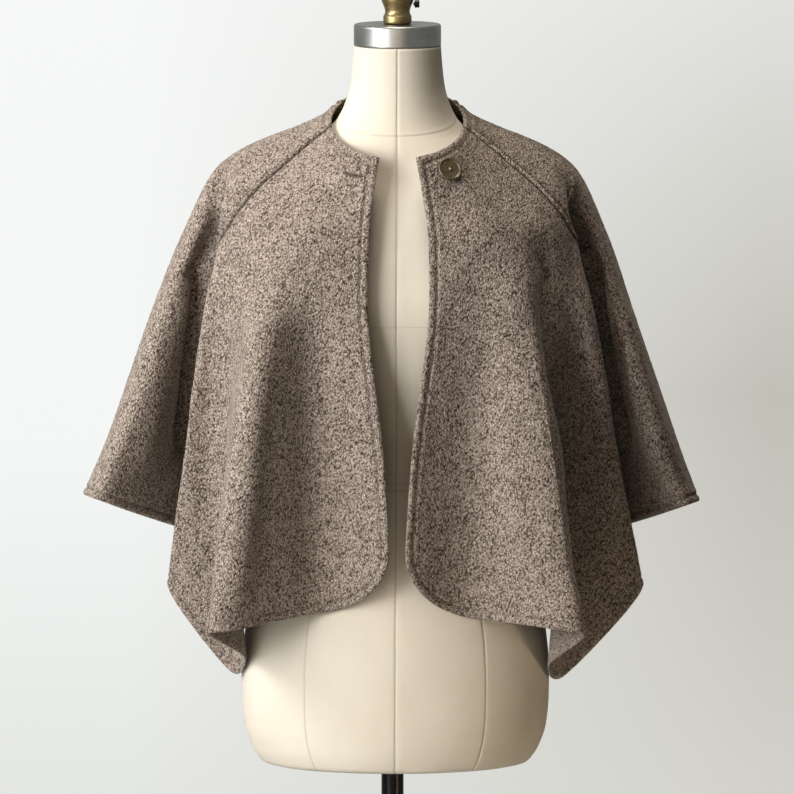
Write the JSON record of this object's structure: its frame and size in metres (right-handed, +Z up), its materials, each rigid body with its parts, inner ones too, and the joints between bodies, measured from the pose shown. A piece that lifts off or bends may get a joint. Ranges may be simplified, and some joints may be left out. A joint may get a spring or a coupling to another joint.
{
  "type": "cape jacket on a dress form",
  "caption": "Collarless open-front wool cape jacket with raglan elbow-length sleeves and a horn button, worn on a limbless linen dress form on a pole stand.",
  "frame": {"origin": "centre of the stand base's underside, on the pole's axis", "axes": "+Z up, the front of the jacket faces -Y, +X towards the wearer's left"},
  "size_m": [0.6981, 0.4, 1.6403],
  "materials": {
    "front_right": "mottled taupe boucle wool, felted and matte",
    "front_left": "mottled taupe boucle wool, felted and matte",
    "back": "mottled taupe boucle wool, felted and matte",
    "sleeve_right": "mottled taupe boucle wool, felted and matte",
    "sleeve_left": "mottled taupe boucle wool, felted and matte",
    "button": "olive-brown horn, satin",
    "dress_form": "cream linen stretched over a hard shell",
    "neck_cap": "brushed round the rim",
    "finial": "aged, satin",
    "thumb_screw": "black, satin",
    "stand_pole": "black, satin",
    "stand_base": "painted black, satin"
  },
  "bodies": {
    "root": {"front_right": "front_right", "front_left": "front_left", "back": "back", "sleeve_right": "sleeve_right", "sleeve_left": "sleeve_left", "button": "button", "dress_form": "dress_form", "neck_cap": "neck_cap", "finial": "finial", "thumb_screw": "thumb_screw", "stand_pole": "stand_pole", "stand_base": "stand_base"}
  },
  "joints": []
}
